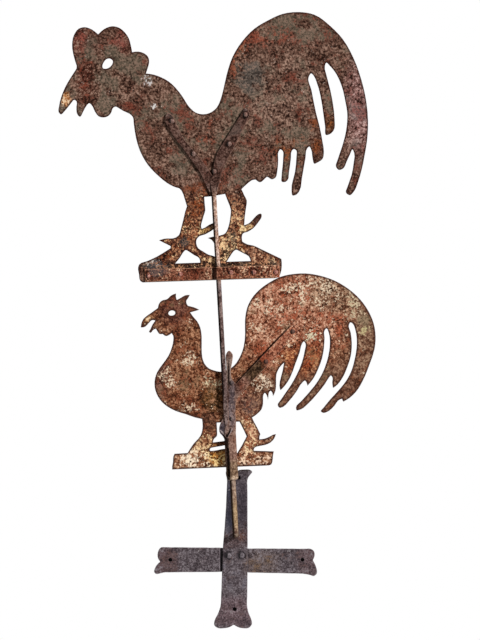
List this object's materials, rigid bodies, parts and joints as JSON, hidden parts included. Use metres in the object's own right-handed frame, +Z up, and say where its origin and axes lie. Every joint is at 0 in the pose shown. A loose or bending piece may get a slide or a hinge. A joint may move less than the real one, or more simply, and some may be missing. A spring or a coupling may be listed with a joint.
{
  "type": "rooster weathervane",
  "caption": "Wall-mounted wrought-iron weathervane: a large and a small sheet-iron rooster on forged forks turn together on a spindle that stands on a nailed cross bracket.",
  "frame": {"origin": "middle of the bracket's cross, on its back face", "axes": "+X to the right as seen from the front, +Y backwards into the wall, +Z up; the roosters face -X"},
  "size_m": [0.5076, 0.0395, 0.9871],
  "materials": {
    "bracket_iron": "forged and dark, purple-grey with light speckle and some rust",
    "spindle_iron": "bare iron with a thin tan rust, rubbed smooth",
    "fork_iron": "forged and brown-grey with a worn pinkish rust",
    "rusty_sheet": "thick orange-brown rust with cream flecks",
    "weathered_sheet": "taupe weathered iron with fine red-brown rust speckle"
  },
  "bodies": {
    "bracket": {"upright_strap": "bracket_iron", "cross_strap": "bracket_iron", "crossing_rivets": "bracket_iron", "spindle": "spindle_iron"},
    "vane": {"lower_fork": "fork_iron", "socket_plug": "fork_iron", "lower_rooster": "rusty_sheet", "lower_fork_rivets": "fork_iron", "upper_fork_rod": "fork_iron", "upper_rooster": "weathered_sheet", "upper_fork_rivets": "fork_iron", "plinth_strap": "rusty_sheet", "plinth_strap_rivets": "fork_iron"}
  },
  "joints": [
    {"name": "vane_spin", "type": "hinge", "parent": "bracket", "child": "vane", "pos_m": [-0.005, -0.03, 0.1491], "axis": [-0.0558, 0, 0.9984], "continuous": true}
  ]
}
